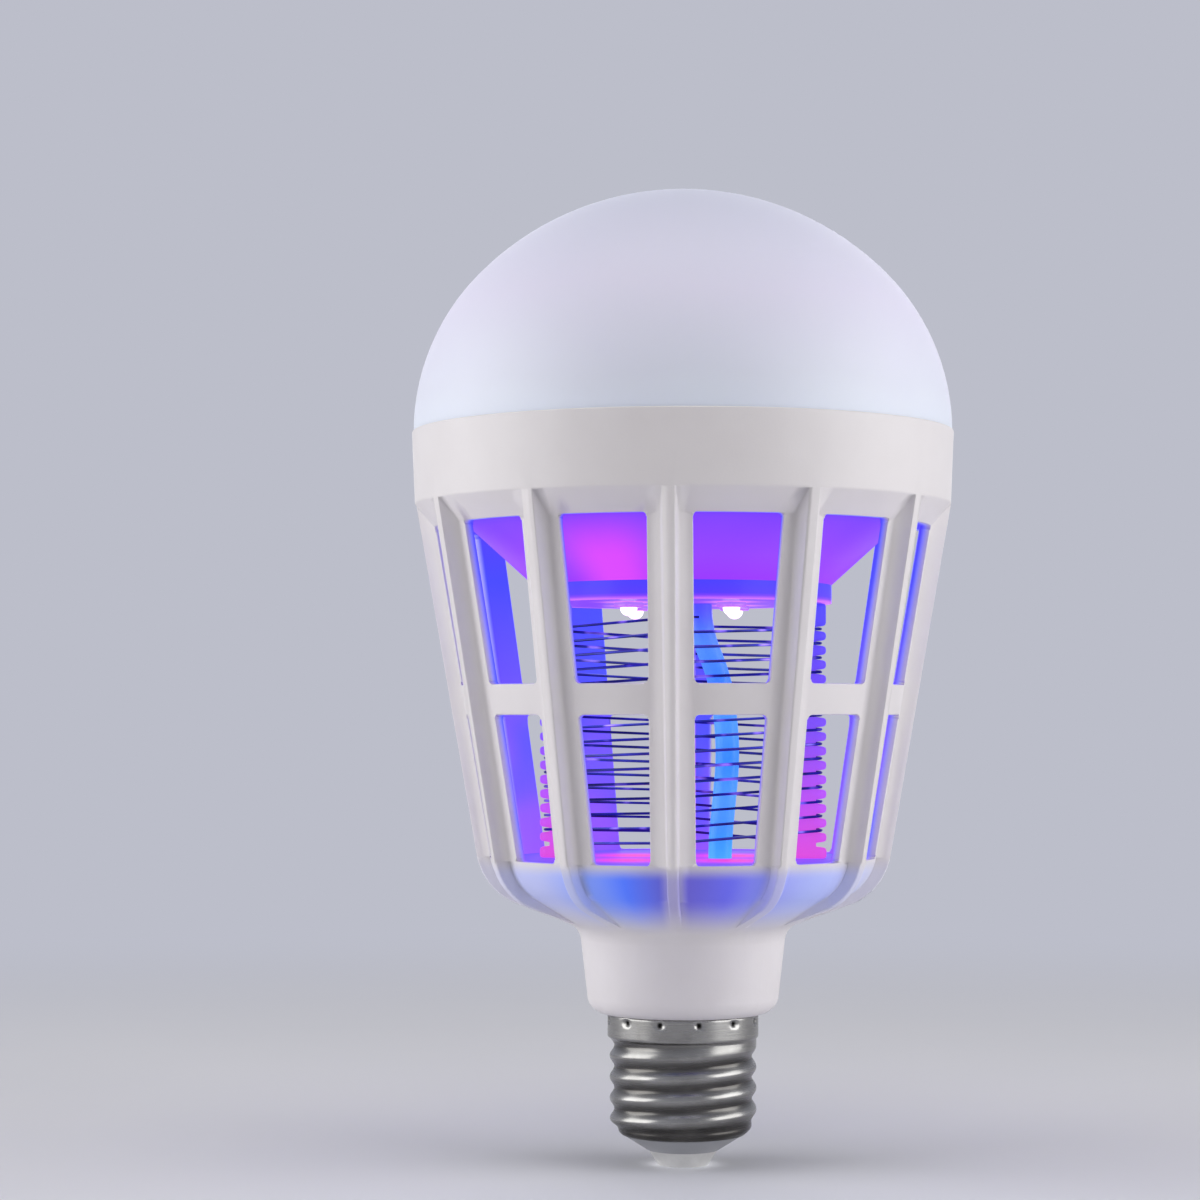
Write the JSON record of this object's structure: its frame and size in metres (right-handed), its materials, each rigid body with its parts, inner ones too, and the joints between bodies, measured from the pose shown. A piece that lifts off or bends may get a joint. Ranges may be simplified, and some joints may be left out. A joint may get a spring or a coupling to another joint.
{
  "type": "insect killer light bulb",
  "caption": "Screw-base light bulb with an opal dome and a windowed cage that holds ultraviolet lamps and a wound wire grid for flying insects.",
  "frame": {"origin": "centre of the centre contact's flat end, on the bulb's axis", "axes": "+Z along the bulb's axis from the screw base to the dome; the grid posts lie on the X and Y axes"},
  "size_m": [0.0946, 0.0946, 0.1696],
  "materials": {
    "contact_metal": "tinned contact button",
    "insulator": "dark moulded insulator",
    "nickel_shell": "nickel-plated rolled sheet",
    "white_moulding": "white moulded plastic, fine satin",
    "opal_dome": "opal diffuser, satin",
    "heat_plate": "stamped sheet",
    "white_board": "white solder resist",
    "white_chips": "phosphor under clear resin",
    "screw_steel": "zinc plated",
    "chamber_moulding": "white plastic lit violet from the lamps",
    "ultraviolet_lamps": "lit lamp under a clear lens",
    "comb_moulding": "pale plastic lit violet",
    "grid_wire": "drawn stainless wire",
    "feed_sleeve": "sleeve lit cyan",
    "green_board": "green solder resist",
    "ferrite": "ground ferrite",
    "winding_tape": "yellow film tape over copper",
    "capacitor_sleeve": "shrunk sleeve",
    "film_block": "dipped film block",
    "black_resin": "moulded resin",
    "resistor_lacquer": "lacquer",
    "disc_ceramic": "dipped ceramic",
    "red_insulation": "extruded insulation",
    "black_insulation": "extruded insulation"
  },
  "bodies": {
    "root": {"centre_contact": "contact_metal", "base_insulator": "insulator", "screw_shell": "nickel_shell", "cage_housing": "white_moulding", "diffuser_dome": "opal_dome", "heat_plate": "heat_plate", "light_board": "white_board", "light_chips": "white_chips", "plate_screws": "screw_steel", "chamber_ceiling": "chamber_moulding", "lamp_board": "white_board", "ultraviolet_lamps": "ultraviolet_lamps", "chamber_floor": "chamber_moulding", "grid_post_1": "comb_moulding", "grid_post_2": "comb_moulding", "grid_post_3": "comb_moulding", "grid_post_4": "comb_moulding", "grid_wire_live": "grid_wire", "grid_wire_return": "grid_wire", "feed_cable": "feed_sleeve", "driver_board": "green_board", "transformer_core": "ferrite", "transformer_coil": "winding_tape", "bulk_capacitor": "capacitor_sleeve", "film_capacitor": "film_block", "bridge_rectifier": "black_resin", "fuse_resistor": "resistor_lacquer", "multiplier_diodes": "black_resin", "multiplier_capacitors": "disc_ceramic", "live_lead": "red_insulation", "neutral_lead": "black_insulation", "grid_lead_live": "red_insulation", "grid_lead_return": "black_insulation"}
  },
  "joints": []
}
